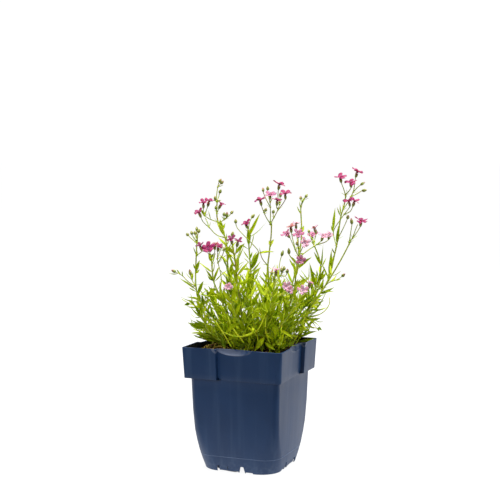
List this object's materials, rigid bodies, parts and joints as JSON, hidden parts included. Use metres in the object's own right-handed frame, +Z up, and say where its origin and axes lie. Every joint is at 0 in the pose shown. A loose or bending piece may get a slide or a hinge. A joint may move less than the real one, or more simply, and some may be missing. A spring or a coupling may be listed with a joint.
{
  "type": "potted flowering plant",
  "caption": "Creeping baby's breath in pink flower, with slender leafy stems and buds, in a square plastic nursery pot of compost.",
  "frame": {"origin": "centre of the foot under the pot's floor, on the level the pot stands on", "axes": "+Z up along the pot's axis; X and Y along the pot's square sides; seen in the picture from the corner between +X and -Y, nearer to -Y"},
  "size_m": [0.1901, 0.1468, 0.313],
  "materials": {
    "pot": "smooth moulded, softly glossy",
    "compost": "crumbly, matt",
    "green": "satin leaf skin",
    "petal_dark": "soft matt petal",
    "petal_magenta": "soft matt petal",
    "petal_faded": "soft matt petal",
    "petal_pale": "soft matt petal",
    "petal_rose": "soft matt petal"
  },
  "bodies": {
    "root": {"pot": "pot", "soil": "compost", "spray_far_left": "green", "bloom_far_left_6": "petal_dark", "spray_low_left": "green", "spray_rosy_left": "green", "bloom_rosy_left_2": "petal_magenta", "bloom_rosy_left_3": "petal_magenta", "bloom_rosy_left_4": "petal_magenta", "bloom_rosy_left_7": "petal_magenta", "spray_bright_left": "green", "bloom_bright_left_1": "petal_magenta", "bloom_bright_left_2": "petal_faded", "bloom_bright_left_3": "petal_magenta", "spray_red_stemmed": "green", "bloom_red_stemmed_1": "petal_dark", "bloom_red_stemmed_2": "petal_dark", "bloom_red_stemmed_4": "petal_pale", "spray_tall_leaves": "green", "bloom_tall_leaves_1": "petal_magenta", "spray_rosy_middle": "green", "bloom_rosy_middle_1": "petal_magenta", "bloom_rosy_middle_3": "petal_rose", "bloom_rosy_middle_6": "petal_magenta", "bloom_rosy_middle_7": "petal_magenta", "bloom_rosy_middle_9": "petal_magenta", "spray_tall_buds": "green", "spray_pale_cluster": "green", "bloom_pale_cluster_1": "petal_rose", "bloom_pale_cluster_2": "petal_faded", "bloom_pale_cluster_3": "petal_rose", "bloom_pale_cluster_4": "petal_pale", "bloom_pale_cluster_5": "petal_pale", "bloom_pale_cluster_6": "petal_pale", "bloom_pale_cluster_7": "petal_pale", "bloom_pale_cluster_8": "petal_pale", "bloom_pale_cluster_10": "petal_rose", "spray_high_right": "green", "bloom_high_right_1": "petal_magenta", "bloom_high_right_2": "petal_magenta", "bloom_high_right_3": "petal_magenta", "bloom_high_right_6": "petal_magenta", "bloom_high_right_7": "petal_magenta", "spray_inner_right": "green", "bloom_inner_right_1": "petal_rose", "spray_thin_right": "green", "bloom_thin_right_2": "petal_magenta", "spray_lilac_front": "green", "bloom_lilac_front_1": "petal_pale", "bloom_lilac_front_7": "petal_pale", "bloom_lilac_front_8": "petal_pale", "bloom_lilac_front_9": "petal_pale", "bloom_lilac_front_10": "petal_pale", "mound_shoot_1": "green", "mound_shoot_2": "green", "mound_shoot_3": "green", "mound_shoot_4": "green", "mound_shoot_5": "green", "mound_shoot_6": "green", "mound_shoot_7": "green"}
  },
  "joints": []
}
